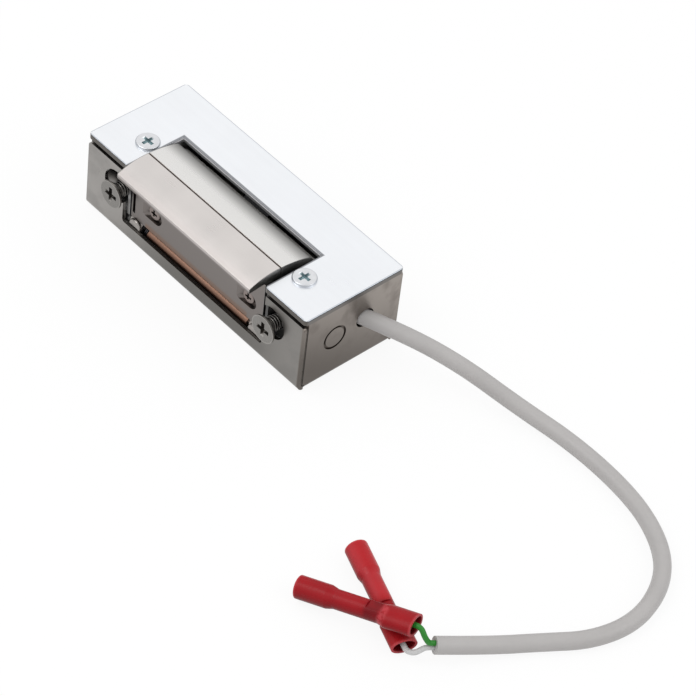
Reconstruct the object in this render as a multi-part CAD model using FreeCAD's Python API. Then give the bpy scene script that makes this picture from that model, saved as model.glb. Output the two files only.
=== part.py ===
import FreeCAD, Part
import math
import os

# Electric strike in a surface box: a folded sheet housing with a flat cover, a cast strike frame,
# a two-piece radius keeper on a pin, a locking lever with its armature, a coil, and a two-core lead.
# Frame: origin at the middle of the housing's base, X along the box, -Y is the latch side, Z up.
# Sizes are in millimetres. Depths are measured from the plane of the housing's front wall.

V = FreeCAD.Vector
os.makedirs("parts", exist_ok=True)

# Box
box_length = 80.0
box_height = 23.3
sheet = 1.0
cover_sheet = 1.5
bend_inside = 0.6
seam_gap = 0.12
flange_step = 0.25
flange_corner = 1.0
front_drop = 1.2
edge_round = 0.2

# Front opening and the round screw clearances that run into it
opening_past_keeper = 1.7
strip_height = 4.8
opening_corner = 0.8
clearance_bore = 9.0
clearance_past_keeper = 4.4
clearance_z = 14.2

# Cover notch over the keeper
notch_past_keeper = 1.0
notch_behind_keeper = 0.55
notch_corner = 0.8
cover_corner = 1.0

# End wall features
cable_hole = 5.4
cable_hole_y = 4.05
cable_hole_z = 13.37
knockout_diameter = 6.9
knockout_groove = 0.35
knockout_ring = 0.55
knockout_y = -5.3
knockout_z = 12.5

# Fixing holes in the base
fixing_from_end = 4.0
fixing_y = -6.0
fixing_bore = 3.4

# Screws
face_screw_past_keeper = 3.95
face_screw_z = 12.9
face_screw_thread = 4.0
face_screw_head = 7.6
face_screw_proud = 2.25
face_screw_length = 10.5
cover_screw_past_keeper = 4.5
cover_screw_depth = 9.2
cover_screw_thread = 3.0
cover_screw_head = 6.1
cover_screw_head_height = 0.65
cover_screw_length = 7.2
base_screw_head = 4.9
base_screw_length = 8.0
lip_screw_inset = 6.85
lip_screw_shift = 0.85
lip_screw_z = 13.2
lip_screw_thread = 2.5
lip_screw_head = 4.0
thread_clearance = 0.06
recess_width_share = 0.15
recess_depth_share = 0.17

# Keeper: it turns on a pin low in the pocket, under the lip
pin_depth = 3.4
pin_z = 4.0
pin_diameter = 2.0
pin_clearance = 0.03
knuckle_radius = 2.15
knuckle_width = 4.2
end_room = 15.7
keeper_swing = 22.0
crown_depth = 4.0
crown_z = 25.25
crown_front_radius = 18.3
crown_rear_radius = 32.0
lip_reach = 3.8
lip_edge = 1.3
lip_seat = 3.3
pocket_depth = 1.3
pocket_floor_z = 7.4
split_depth = 5.74
split_gap = 0.2
split_round = 0.25
step_z = 22.9
wall_rear = 5.2
rear_round = 2.5
rear_round_depth = 13.5
catch_angle = 46.0
catch_inner = 18.5
catch_outer = 21.5
end_slot_width = 0.9
end_slot_inset = 0.5
end_slot_low = 8.8
end_slot_high = 16.6
leg_low = 7.2
boss_round = 1.2
recess_length = 7.0
recess_height = 4.4
recess_floor = 1.2
recess_slope = 1.3

# Strike frame
keeper_float = 0.9
cheek = 2.0
lug_length = 7.8
frame_floor = 1.0
frame_gap = 0.05
lug_front = 3.7
lug_rear = 12.2
cheek_front = 1.2
strip_width = 0.8
far_strip_past_keeper = 0.4
frame_floor_front = 7.0
guard_gap = 0.3
guard_thickness = 1.4
guard_bridge = 1.2
guard_low_angle = 25.0
cover_clearance = 0.1
ear_width = 2.0
washer_thickness = 0.6
washer_diameter = 4.2

# Sleeve and spring on the pin
spring_room = 1.6
pin_sleeve_diameter = 3.8
spring_outside = 3.5
spring_wire = 0.45
spring_pitch = 0.5
spring_turns = 2
spring_tip = 0.4
wire_flats = 6

# Coil and its iron
coil_z = 6.4
coil_front = 9.6
coil_rear = 20.4
coil_radius = 3.8
flange_radius = 4.1
flange_width = 0.8
spool_radius = 2.2
core_radius = 1.6
core_face = 21.5
core_fit = 0.02
yoke_sheet = 1.2
yoke_gap = 0.6

# Locking lever and armature
lever_behind_guard = 2.4
lever_to_rear = 3.8
lever_z = 12.7
lever_half = 4.3
lever_boss = 2.0
lever_pin_diameter = 2.0
lever_gap = 0.2
lever_swing = 15.0
lever_engage = 0.45
lever_start_gap = 1.3
armature_front = 24.0
armature_sheet = 1.0
armature_low = 3.0
armature_high = 9.6
lever_sheet = 1.5
lever_spring_diameter = 3.2
lever_spring_wire = 0.4
lever_spring_z = 17.0
lever_spring_turns = 4

# Lead: its routes start from the end wall, in x, and from the middle of the box in y
sheath_diameter = 4.2
core_diameter = 1.3
clamp_diameter = 7.0
clamp_length = 2.4
clamp_fit = 0.03
sheath_route = [
    (-5.5, 1.98, 13.34), (9, 8.0, 13.4), (22, 15.6, 8.6), (36, 21.0, 3.4), (52, 24.2, 2.2),
    (68, 23.9, 2.12), (80, 21.4, 2.12), (90.2, 16.0, 2.12), (96.4, 7.9, 2.12),
    (99.3, -2.8, 2.12), (97, -13.8, 2.12), (90.8, -23.0, 2.12), (84.35, -33.7, 2.6),
    (78.4, -44.3, 4.8),
]
green_route = [
    (78.45, -44.21, 5.51), (77.73, -45.5, 5.78), (77, -46.2, 7.4), (75.27, -46.04, 9.2),
    (71.11, -47.46, 8.26), (67.22, -48.79, 7.54),
]
white_route = [
    (78.32, -44.44, 4.1), (77.41, -46.07, 4.43), (76.6, -48.3, 3.3), (74.75, -49.05, 2.77),
    (70.5, -47.4, 2.77), (66.58, -45.91, 2.9),
]
inner_tail = [(-5.55, 1.96, 13.34), (-7.4, 1.2, 13.1), (-9.4, 3.4, 9.8)]
inner_shares = [(0.685, 7.2, 6.8), (0.535, 9.0, 5.8), (0.36, 8.6, 7.0), (0.215, 5.2, 10.1)]
inner_end = (2.4, 3.2, 10.85)

# Crimp connectors at the end of the lead
sleeve_length = 29.5
sleeve_mouth = 2.75
sleeve_neck = 2.3
sleeve_bore = 1.7
sleeve_cuff_width = 6.3
sleeve_cuff_height = 4.3
sleeve_wall = 0.55
barrel_wall = 0.5
barrel_fit = 0.04
upper_start = (46.77, -55.8, 2.8)
upper_heading = 18.9
upper_rise = 12.0
lower_start = (45.9, -38.1, 2.77)
lower_heading = -20.7

# Worked-out values
half_length = box_length / 2
keeper_half = half_length - end_room
chamber_half = keeper_half + keeper_float
frame_half = chamber_half + lug_length
notch_half = keeper_half + notch_past_keeper
opening_half = keeper_half + opening_past_keeper
clearance_spacing = 2 * (keeper_half + clearance_past_keeper)
face_screw_spacing = 2 * (keeper_half + face_screw_past_keeper)
cover_screw_spacing = 2 * (keeper_half + cover_screw_past_keeper)
lip_screw_spacing = 2 * (keeper_half - lip_screw_inset)
fixing_spacing = box_length - 2 * fixing_from_end
cheek_front_half = chamber_half + strip_width
far_strip_half = keeper_half + far_strip_past_keeper
sleeve_half = keeper_half - knuckle_width - spring_room
wall_top = box_height - cover_sheet
bend_outside = bend_inside + sheet
rear_round_z = crown_z - crown_rear_radius + math.sqrt(
    (crown_rear_radius - rear_round) ** 2 - (rear_round_depth - crown_depth) ** 2)
keeper_reach = math.hypot(rear_round_depth - pin_depth, rear_round_z - pin_z) + rear_round
guard_inner = keeper_reach + guard_gap
notch_depth = round(
    pin_depth + math.sqrt(keeper_reach ** 2 - (wall_top - pin_z) ** 2) + notch_behind_keeper, 1)
lever_depth = round(
    pin_depth + math.sqrt(guard_inner ** 2 - (lever_z - pin_z) ** 2) + lever_behind_guard, 1)
box_width = lever_depth + lever_to_rear
half_width = box_width / 2
front_y = -half_width
pin_y = front_y + pin_depth
lever_y = front_y + lever_depth
frame_floor_rear = lever_depth + 1.8
rear_round_centre = (front_y + rear_round_depth, rear_round_z)
frame_top = wall_top - cover_clearance
frame_base = sheet + frame_gap
floor_top = frame_base + frame_floor


def at_depth(depth):
    return front_y + depth


def polar(radius, degrees, centre=None):
    """A point (y, z) at an angle above +Y from the keeper pin, or from another centre."""
    cy, cz = centre or (pin_y, pin_z)
    turn = math.radians(degrees)
    return cy + radius * math.cos(turn), cz + radius * math.sin(turn)


def box(x0, x1, y0, y1, z0, z1):
    return Part.makeBox(x1 - x0, y1 - y0, z1 - z0, V(x0, y0, z0))


def rod(x, y, z, radius, length, direction):
    return Part.makeCylinder(radius, length, V(x, y, z), V(*direction))


def outline(start, *steps):
    """A face in the YZ plane: a step is the next corner, or (a point on an arc, its end)."""
    edges, here = [], start
    for step in steps + (start,):
        if isinstance(step[0], tuple):
            through, end = step
            edges.append(Part.Arc(V(0, *here), V(0, *through), V(0, *end)).toShape())
        else:
            end = step
            if math.dist(here, end) > 1e-6:
                edges.append(Part.LineSegment(V(0, *here), V(0, *end)).toShape())
        here = end
    return Part.Face(Part.Wire(edges))


def along_x(face, x0, x1):
    solid = face.extrude(V(x1 - x0, 0, 0))
    solid.translate(V(x0, 0, 0))
    return solid


def both_ends(solid):
    """The solid and its mirror image across the middle of the box."""
    return [solid, solid.mirror(V(0, 0, 0), V(1, 0, 0))]


def fused(solids):
    joined = solids[0]
    for solid in solids[1:]:
        joined = joined.fuse(solid)
    return joined.removeSplitter()


def without(solid, *tools):
    for tool in tools:
        solid = solid.cut(tool)
    return solid


def rounded(solid, radius, wanted):
    """The solid with every edge that passes the test rounded."""
    edges = [edge for edge in solid.Edges if wanted(edge)]
    return solid.makeFillet(radius, edges) if edges and radius > 0 else solid


def upright(edge):
    box_ = edge.BoundBox
    return box_.XLength < 1e-6 and box_.YLength < 1e-6


def save(name, shape):
    shape.exportStep("parts/" + name + ".step")


def crown_height(depth):
    radius = crown_front_radius if depth < crown_depth else crown_rear_radius
    return crown_z - radius + math.sqrt(radius ** 2 - (depth - crown_depth) ** 2)


def side_wall(length, wall_length, top, corner):
    """One wall along X at the front of a tray, with the quarter bend that joins it to the floor."""
    centre = (front_y + bend_outside, bend_outside)
    low, outer_mid = polar(bend_outside, 270, centre), polar(bend_outside, 225, centre)
    inner_mid = polar(bend_inside, 225, centre)
    bend = outline(low, (outer_mid, polar(bend_outside, 180, centre)), polar(bend_inside, 180, centre),
                   (inner_mid, polar(bend_inside, 270, centre)))
    wall = box(-wall_length / 2, wall_length / 2, front_y, front_y + sheet, bend_outside, top)
    at_corner = lambda e: e.BoundBox.XLength < 1e-6 and e.BoundBox.ZMin > top - 1e-6
    wall = rounded(wall, corner, at_corner)
    return fused([along_x(bend, -length / 2, length / 2), wall])


def housing():
    floor = box(bend_outside - half_length, half_length - bend_outside,
                bend_outside - half_width, half_width - bend_outside, 0, sheet)
    flange_length = box_length - 2 * flange_step
    front = side_wall(flange_length, flange_length, wall_top - front_drop, flange_corner)
    rear = side_wall(flange_length, flange_length, wall_top, flange_corner).mirror(V(0, 0, 0), V(0, 1, 0))
    end = side_wall(box_width - 2 * bend_outside, box_width - 2 * (sheet + seam_gap), wall_top, 0)
    end.rotate(V(0, 0, 0), V(0, 0, 1), 90)
    end.translate(V(half_length - half_width, 0, 0))
    tray = fused([floor, front, rear] + both_ends(end))
    return without(tray, front_opening(), *(end_openings() + base_holes()))


def front_opening():
    y0, y1 = front_y - 1, front_y + sheet + bend_inside
    opening = box(-opening_half, opening_half, y0, y1, strip_height, box_height)
    low_corner = lambda e: e.BoundBox.YLength > 1 and e.BoundBox.ZMax < strip_height + 1e-6 \
        and e.BoundBox.XLength < 1e-6
    opening = rounded(opening, opening_corner, low_corner)
    bores = both_ends(rod(clearance_spacing / 2, y0, clearance_z, clearance_bore / 2, y1 - y0, (0, 1, 0)))
    return fused([opening] + bores)


def end_openings():
    wall = half_length - sheet
    cable = rod(wall - 1, cable_hole_y, cable_hole_z, cable_hole / 2, sheet + 2, (1, 0, 0))
    start = half_length - knockout_groove
    ring = without(
        rod(start, knockout_y, knockout_z, knockout_diameter / 2, sheet, (1, 0, 0)),
        rod(start - 1, knockout_y, knockout_z, knockout_diameter / 2 - knockout_ring, sheet + 2, (1, 0, 0)))
    return [cable, ring]


def base_holes():
    bore = rod(fixing_spacing / 2, fixing_y, -1, fixing_bore / 2, sheet + 2, (0, 0, 1))
    screw_x, screw_y = cover_screw_spacing / 2, at_depth(cover_screw_depth)
    screw = rod(screw_x, screw_y, -1, cover_screw_thread / 2 + thread_clearance, sheet + 2, (0, 0, 1))
    head = Part.makeCone(base_screw_head / 2 + thread_clearance, cover_screw_thread / 2 + thread_clearance,
                         sheet, V(screw_x, screw_y, 0))
    return [copy for tool in (bore, screw, head) for copy in both_ends(tool)]


def cover_plate():
    plate = box(-half_length, half_length, -half_width, half_width, wall_top, box_height)
    plate = rounded(plate, cover_corner, upright)
    notch = box(-notch_half, notch_half, front_y - 5, at_depth(notch_depth), wall_top - 1, box_height + 1)
    notch = rounded(notch, edge_round * 2, lambda e: upright(e) and e.BoundBox.YMin > 0)
    plate = plate.cut(notch)
    at_notch = lambda e: upright(e) and abs(abs(e.BoundBox.XMax) - notch_half) < 1e-6 \
        and abs(e.BoundBox.YMax - front_y) < 1e-6
    plate = rounded(plate, notch_corner, at_notch)
    plate = rounded(plate, edge_round, lambda e: e.BoundBox.ZMin > box_height - 1e-6)
    bore = rod(cover_screw_spacing / 2, at_depth(cover_screw_depth), wall_top - 1,
               cover_screw_thread / 2 + 0.2, cover_sheet + 2, (0, 0, 1))
    return without(plate, *both_ends(bore))


def cross_recess(x, y, z, direction, head):
    """The cutter for a cross recess: two tapered bars that meet on the screw's axis."""
    depth, recess_width = head * recess_depth_share, head * recess_width_share
    bars = []
    for turn in (0, 90):
        half, foot = head * 0.28, head * 0.14
        wide = [V(-half, 0, 0.01), V(half, 0, 0.01), V(foot, 0, -depth), V(-foot, 0, -depth)]
        bar = Part.Face(Part.makePolygon(wide + [wide[0]])).extrude(V(0, recess_width, 0))
        bar.translate(V(0, -recess_width / 2, 0))
        bar.rotate(V(0, 0, 0), V(0, 0, 1), turn)
        bars.append(bar)
    cutter = fused(bars)
    cutter.Placement = FreeCAD.Placement(V(x, y, z), FreeCAD.Rotation(V(0, 0, 1), V(*direction)))
    return cutter


def face_screw():
    """Countersunk screw standing proud of the front, as far as the face plate it waits for."""
    x, y, z = face_screw_spacing / 2, at_depth(-face_screw_proud), face_screw_z
    rim = 0.4
    head = rod(x, y, z, face_screw_head / 2, rim, (0, 1, 0))
    drop = (face_screw_head - face_screw_thread) / 2
    cone = Part.makeCone(face_screw_head / 2, face_screw_thread / 2, drop, V(x, y + rim, z), V(0, 1, 0))
    shank = rod(x, y + rim + drop, z, face_screw_thread / 2 - thread_clearance,
                face_screw_length - rim - drop, (0, 1, 0))
    return without(fused([head, cone, shank]), cross_recess(x, y, z, (0, -1, 0), face_screw_head))


def cover_screw():
    x, y = cover_screw_spacing / 2, at_depth(cover_screw_depth)
    head = rod(x, y, box_height, cover_screw_head / 2, cover_screw_head_height, (0, 0, 1))
    head = rounded(head, cover_screw_head_height * 0.6, lambda e: e.BoundBox.ZMin > box_height + 0.1)
    shank = rod(x, y, box_height - cover_screw_length, cover_screw_thread / 2 - thread_clearance,
                cover_screw_length, (0, 0, 1))
    top = box_height + cover_screw_head_height
    return without(fused([head, shank]), cross_recess(x, y, top, (0, 0, 1), cover_screw_head))


def base_screw():
    x, y = cover_screw_spacing / 2, at_depth(cover_screw_depth)
    base = 0.05
    cone = Part.makeCone(base_screw_head / 2, cover_screw_thread / 2 - thread_clearance, sheet - base,
                         V(x, y, base))
    shank = rod(x, y, base, cover_screw_thread / 2 - thread_clearance, base_screw_length, (0, 0, 1))
    return without(fused([cone, shank]), cross_recess(x, y, base, (0, 0, -1), base_screw_head))


def lip_screw():
    x, z = 0, lip_screw_z
    seat = at_depth(pocket_depth + recess_floor)
    head_height = recess_floor * 0.6
    head = rod(x, seat - head_height, z, lip_screw_head / 2, head_height, (0, 1, 0))
    head = rounded(head, head_height * 0.6, lambda e: e.BoundBox.YMax < seat - head_height + 0.1)
    shank = rod(x, seat, z, lip_screw_thread / 2 - thread_clearance,
                at_depth(wall_rear) - seat - 0.2, (0, 1, 0))
    return without(fused([head, shank]),
                   cross_recess(x, seat - head_height, z, (0, -1, 0), lip_screw_head))


def pair(solid):
    return Part.makeCompound(both_ends(solid))


def at_lip_screws(solid):
    """Copies of a solid at the two lip screws, which stand a little to one side of the middle."""
    copies = []
    for side in (-1, 1):
        copy = solid.copy()
        copy.translate(V(lip_screw_shift + side * lip_screw_spacing / 2, 0, 0))
        copies.append(copy)
    return copies


def keeper_lip():
    """The L-shaped front half: the crowned lip over the pocket and the wall behind the latch."""
    tip, tip_top = -lip_reach, crown_height(-lip_reach)
    mid = (crown_depth - lip_reach) / 2
    split = split_depth - split_gap / 2
    face = outline(
        (at_depth(tip), tip_top - lip_edge),
        (at_depth(tip), tip_top),
        ((at_depth(mid), crown_height(mid)), (at_depth(crown_depth), crown_z)),
        ((at_depth((crown_depth + split) / 2), crown_height((crown_depth + split) / 2)),
         (at_depth(split), crown_height(split))),
        (at_depth(split), step_z),
        (at_depth(lip_seat), step_z),
        (at_depth(lip_seat), pocket_floor_z),
        (at_depth(pocket_depth), pocket_floor_z),
        (at_depth(pocket_depth), step_z - 0.2),
    )
    leg = box(keeper_half - knuckle_width, keeper_half, at_depth(pocket_depth), at_depth(lip_seat),
              leg_low, pocket_floor_z + 1)
    lip = fused([along_x(face, -keeper_half, keeper_half)] + both_ends(leg))
    lengthwise = lambda e: e.BoundBox.XLength > keeper_half
    at_tip = lambda e: lengthwise(e) and e.BoundBox.YMax < at_depth(tip) + 1e-6 and e.BoundBox.ZMin > tip_top - 0.1
    lip = rounded(lip, split_round, at_tip)
    at_split = lambda e: lengthwise(e) and abs(e.BoundBox.YMax - at_depth(split)) < 1e-6 \
        and e.BoundBox.ZMin > step_z + 1
    lip = rounded(lip, split_round, at_split)
    inside = lambda e: lengthwise(e) and abs(e.BoundBox.YMax - at_depth(pocket_depth)) < 1e-6 \
        and e.BoundBox.ZMin > step_z - 0.5
    lip = rounded(lip, 0.8, inside)
    return without(lip, end_slot(), *at_lip_screws(lip_screw_seat()))


def end_slot():
    x0 = -keeper_half + end_slot_inset
    return box(x0, x0 + end_slot_width, at_depth(pocket_depth) - 1, at_depth(lip_seat) + 0.1,
               end_slot_low, end_slot_high)


def lip_screw_seat():
    """A recess with one round end and one end that slopes up to the face, and the screw's bore."""
    y0, z, half = at_depth(pocket_depth), lip_screw_z, recess_height / 2
    right, left = recess_length / 2 - half, -recess_length / 2
    corners = [V(left, y0, z - half), V(right, y0, z - half), V(right, y0 + recess_floor, z - half),
               V(left + recess_slope, y0 + recess_floor, z - half)]
    ramp = Part.Face(Part.makePolygon(corners + [corners[0]])).extrude(V(0, 0, 2 * half))
    ramp = rounded(ramp, half * 0.4, lambda e: e.BoundBox.ZLength < 1e-6 and e.BoundBox.XLength > 0.1
                   and e.BoundBox.XLength < recess_slope + 0.1 and e.BoundBox.YLength > recess_floor / 2)
    end = rod(right, y0, z, half, recess_floor, (0, 1, 0))
    mouth = box(left, right, y0 - 1, y0, z - half, z + half)
    bore = rod(0, y0 - 1, z, lip_screw_thread / 2 + 0.1, recess_floor + 4, (0, 1, 0))
    return fused([ramp, end, mouth, bore])


def rear_shell():
    """The rear half's section: the wall behind the lip, the crown and the heel that carries the catch."""
    split = split_depth + split_gap / 2
    crown_turn = math.degrees(math.asin((rear_round_depth - crown_depth) / (crown_rear_radius - rear_round)))
    meet = polar(rear_round, 90 - crown_turn, rear_round_centre)
    mid = (split + meet[0] - front_y) / 2
    rearmost = polar(rear_round, 0, rear_round_centre)
    return outline(
        (at_depth(split), step_z),
        (at_depth(split), crown_height(split)),
        ((at_depth(mid), crown_height(mid)), meet),
        (polar(rear_round, (90 - crown_turn) / 2, rear_round_centre), rearmost),
        polar(catch_outer, catch_angle + 1.5),
        polar(catch_outer, catch_angle),
        polar(catch_inner, catch_angle),
        polar(catch_inner - 0.6, catch_angle + 9),
        (at_depth(wall_rear + 2.4), step_z - 1.4),
        (at_depth(wall_rear), step_z - 4.2),
        (at_depth(wall_rear), pocket_floor_z),
        (at_depth(lip_seat), pocket_floor_z),
        (at_depth(lip_seat), step_z),
    )


def keeper_end(width):
    """One end of the rear half: a web under the crown, and the knuckle that turns on the pin."""
    front = at_depth(pin_depth) - knuckle_radius
    web = outline(
        (at_depth(lip_seat), step_z),
        polar(catch_inner, catch_angle + 9),
        polar(catch_inner - 5.5, catch_angle + 7),
        (at_depth(wall_rear + 1.8), pocket_floor_z + 2),
        (at_depth(pin_depth) + knuckle_radius, pocket_floor_z - 1),
        (at_depth(pin_depth) + knuckle_radius, pin_z),
        (front, pin_z),
        (front, leg_low - boss_round),
        (polar(boss_round, 135, (front + boss_round, leg_low - boss_round)), (front + boss_round, leg_low)),
        (at_depth(lip_seat), leg_low),
    )
    knuckle = rod(keeper_half - width, pin_y, pin_z, knuckle_radius, width, (1, 0, 0))
    return fused([along_x(web, keeper_half - width, keeper_half), knuckle])


def keeper():
    shell = along_x(rear_shell(), -keeper_half, keeper_half)
    body = fused([shell] + both_ends(keeper_end(knuckle_width)))
    split = split_depth + split_gap / 2
    at_split = lambda e: e.BoundBox.XLength > keeper_half and abs(e.BoundBox.YMax - at_depth(split)) < 1e-6 \
        and e.BoundBox.ZMin > step_z + 1
    body = rounded(body, split_round, at_split)
    bore = rod(-keeper_half - 1, pin_y, pin_z, pin_diameter / 2 + pin_clearance, 2 * keeper_half + 2, (1, 0, 0))
    screw = rod(0, at_depth(lip_seat) - 1, lip_screw_z, lip_screw_thread / 2, wall_rear, (0, 1, 0))
    return without(body, bore, *at_lip_screws(screw))


def frame_cheek(front, thickness):
    """A side plate of the chamber: it follows the guard's arc at the rear and is open below it."""
    outer = guard_inner + guard_thickness
    top_angle = math.degrees(math.asin((frame_top - pin_z) / outer))
    low = polar(outer, guard_low_angle)
    return along_x(outline(
        (at_depth(front), floor_top), (at_depth(front), frame_top), (polar(outer, top_angle)[0], frame_top),
        (polar(outer, (top_angle + guard_low_angle) / 2), low),
        polar(guard_inner - 4, guard_low_angle), (at_depth(lug_rear), floor_top)),
        chamber_half, chamber_half + thickness)


def frame_lug():
    """A solid end block that takes the face screw, the cover screw and the base screw."""
    block = box(chamber_half, frame_half, at_depth(lug_front), at_depth(lug_rear), frame_base, frame_top)
    block = rounded(block, 1.5, lambda e: upright(e) and e.BoundBox.XMin > frame_half - 1e-6)
    ear = rod(chamber_half, pin_y, pin_z, knuckle_radius, frame_half - chamber_half - 1, (1, 0, 0))
    foot = box(chamber_half, frame_half - 1, pin_y, at_depth(lug_front) + 1, frame_base, pin_z + knuckle_radius)
    return fused([block, ear, foot])


def guard():
    """The curved wall behind the keeper's sweep, open in the middle for the locking lever."""
    outer = guard_inner + guard_thickness
    high = math.degrees(math.asin((frame_top - pin_z) / guard_inner))
    high_outer = math.degrees(math.asin((frame_top - pin_z) / outer))
    face = outline(
        polar(guard_inner, high),
        (polar(guard_inner, (high + guard_low_angle) / 2), polar(guard_inner, guard_low_angle)),
        polar(outer, guard_low_angle),
        (polar(outer, (high_outer + guard_low_angle) / 2), polar(outer, high_outer)))
    wall = along_x(face, -chamber_half, chamber_half)
    window = box(-lever_half - 1, lever_half + 1, front_y, half_width, 0, frame_top - guard_bridge)
    return wall.cut(window)


def lever_ear():
    x0 = lever_half + lever_gap
    post = box(x0, x0 + ear_width, lever_y - lever_boss, lever_y + lever_boss, frame_base, lever_z)
    return fused([post, rod(x0, lever_y, lever_z, lever_boss, ear_width, (1, 0, 0))])


def strike_frame():
    floor = box(-frame_half, frame_half, at_depth(frame_floor_front), at_depth(frame_floor_rear),
                frame_base, floor_top)
    floor = rounded(floor, 1.5, upright)
    right = [frame_cheek(lug_front, cheek), frame_lug()]
    strip_top = wall_top - front_drop
    front_strip = box(chamber_half, cheek_front_half, at_depth(cheek_front), at_depth(lug_front) + 0.5,
                      pin_z, strip_top)
    far_strip = box(-chamber_half - 0.4, -far_strip_half, at_depth(cheek_front), at_depth(lug_front) + 0.5,
                    pin_z + 3, strip_top)
    left = [solid.mirror(V(0, 0, 0), V(1, 0, 0)) for solid in right]
    body = fused([floor, guard(), front_strip, far_strip] + right + left + both_ends(lever_ear()))
    return without(body, *frame_bores())


def frame_bores():
    pin = rod(-frame_half + 2, pin_y, pin_z, pin_diameter / 2 + pin_clearance, 2 * frame_half - 4, (1, 0, 0))
    face = rod(face_screw_spacing / 2, at_depth(0), face_screw_z, face_screw_thread / 2,
               face_screw_length - face_screw_proud + 0.5, (0, 1, 0))
    x, y = cover_screw_spacing / 2, at_depth(cover_screw_depth)
    top = rod(x, y, box_height - cover_screw_length - 0.5, cover_screw_thread / 2, cover_screw_length, (0, 0, 1))
    low = rod(x, y, 0, cover_screw_thread / 2, base_screw_length + 0.5, (0, 0, 1))
    lever = rod(-lever_half * 3, lever_y, lever_z, lever_pin_diameter / 2 + pin_clearance, lever_half * 6, (1, 0, 0))
    return [pin, lever] + both_ends(face) + both_ends(top) + both_ends(low)


def keeper_pin():
    half = frame_half - 2.5
    pin = rod(-half, pin_y, pin_z, pin_diameter / 2, 2 * half, (1, 0, 0))
    return pin.makeChamfer(0.2, [e for e in pin.Edges if e.BoundBox.XLength < 1e-6])


def pin_sleeve():
    sleeve = rod(-sleeve_half, pin_y, pin_z, pin_sleeve_diameter / 2, 2 * sleeve_half, (1, 0, 0))
    return sleeve.cut(rod(-sleeve_half - 1, pin_y, pin_z, pin_diameter / 2 + pin_clearance,
                          2 * sleeve_half + 2, (1, 0, 0)))


def wound(radius, wire, pitch, turns):
    """A helix of wire about Z; the wire's section has flats, which keeps small springs light."""
    turn = 2 * math.pi / wire_flats
    corners = [V(radius + wire * math.cos(turn * n), 0, wire * math.sin(turn * n)) for n in range(wire_flats + 1)]
    helix = Part.makeHelix(pitch, pitch * turns, radius)
    return Part.Wire(helix.Edges).makePipeShell([Part.makePolygon(corners)], True, True)


def keeper_spring():
    """The torsion spring beside the sleeve, with a leg on the housing floor and one on the keeper."""
    radius, wire = (spring_outside - spring_wire) / 2, spring_wire / 2
    length = spring_pitch * spring_turns
    coil = wound(radius, wire, spring_pitch, spring_turns)
    coil.rotate(V(0, 0, 0), V(0, 1, 0), 90)
    coil.rotate(V(0, 0, 0), V(1, 0, 0), 90)
    start = -sleeve_half - (spring_room + length) / 2
    coil.translate(V(start, pin_y, pin_z))
    behind = pin_y + radius
    foot = V(start, behind, sheet + 0.03)
    tip = V(start + length, at_depth(wall_rear) + spring_tip, pocket_floor_z + 1)
    return Part.makeCompound([coil, spring_leg(V(start, behind, pin_z), foot),
                              spring_leg(V(start + length, behind, pin_z), tip)])


def spring_leg(start, end):
    wire = spring_wire / 2
    heading = (end - start).normalize()
    start = start + heading * wire
    return Part.makeCylinder(wire, (end - start).Length, start, heading)


def thrust_washer():
    x = (keeper_half + chamber_half - washer_thickness) / 2
    return without(rod(x, pin_y, pin_z, washer_diameter / 2, washer_thickness, (1, 0, 0)),
                   rod(x - 1, pin_y, pin_z, pin_diameter / 2 + pin_clearance, washer_thickness + 2, (1, 0, 0)))


def coil_bobbin():
    y0, y1 = at_depth(coil_front), at_depth(coil_rear)
    tube = rod(0, y0, coil_z, spool_radius, y1 - y0, (0, 1, 0))
    front = rod(0, y0, coil_z, flange_radius, flange_width, (0, 1, 0))
    rear = rod(0, y1 - flange_width, coil_z, flange_radius, flange_width, (0, 1, 0))
    return without(fused([tube, front, rear]),
                   rod(0, y0 - 1, coil_z, core_radius + core_fit, y1 - y0 + 2, (0, 1, 0)))


def coil_winding():
    y0, length = at_depth(coil_front) + flange_width, coil_rear - coil_front - 2 * flange_width
    return without(rod(0, y0, coil_z, coil_radius, length, (0, 1, 0)),
                   rod(0, y0 - 1, coil_z, spool_radius, length + 2, (0, 1, 0)))


def coil_core():
    y0 = at_depth(coil_front) - yoke_sheet
    return rod(0, y0, coil_z, core_radius, at_depth(core_face) - y0, (0, 1, 0))


def yoke():
    half, low = flange_radius + yoke_gap, floor_top
    high = coil_z + flange_radius * 0.55
    y0, y1 = at_depth(coil_front) - yoke_sheet, at_depth(core_face)
    outer = box(-half - yoke_sheet, half + yoke_sheet, y0, y1, low, high)
    outer = rounded(outer, yoke_sheet * 0.9, lambda e: upright(e) and e.BoundBox.YMax < y0 + 1e-6)
    inner = box(-half, half, y0 + yoke_sheet, y1 + 1, low - 1, high + 1)
    bore = rod(0, y0 - 1, coil_z, core_radius + core_fit, yoke_sheet + 2, (0, 1, 0))
    return without(outer, inner, bore)


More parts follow.
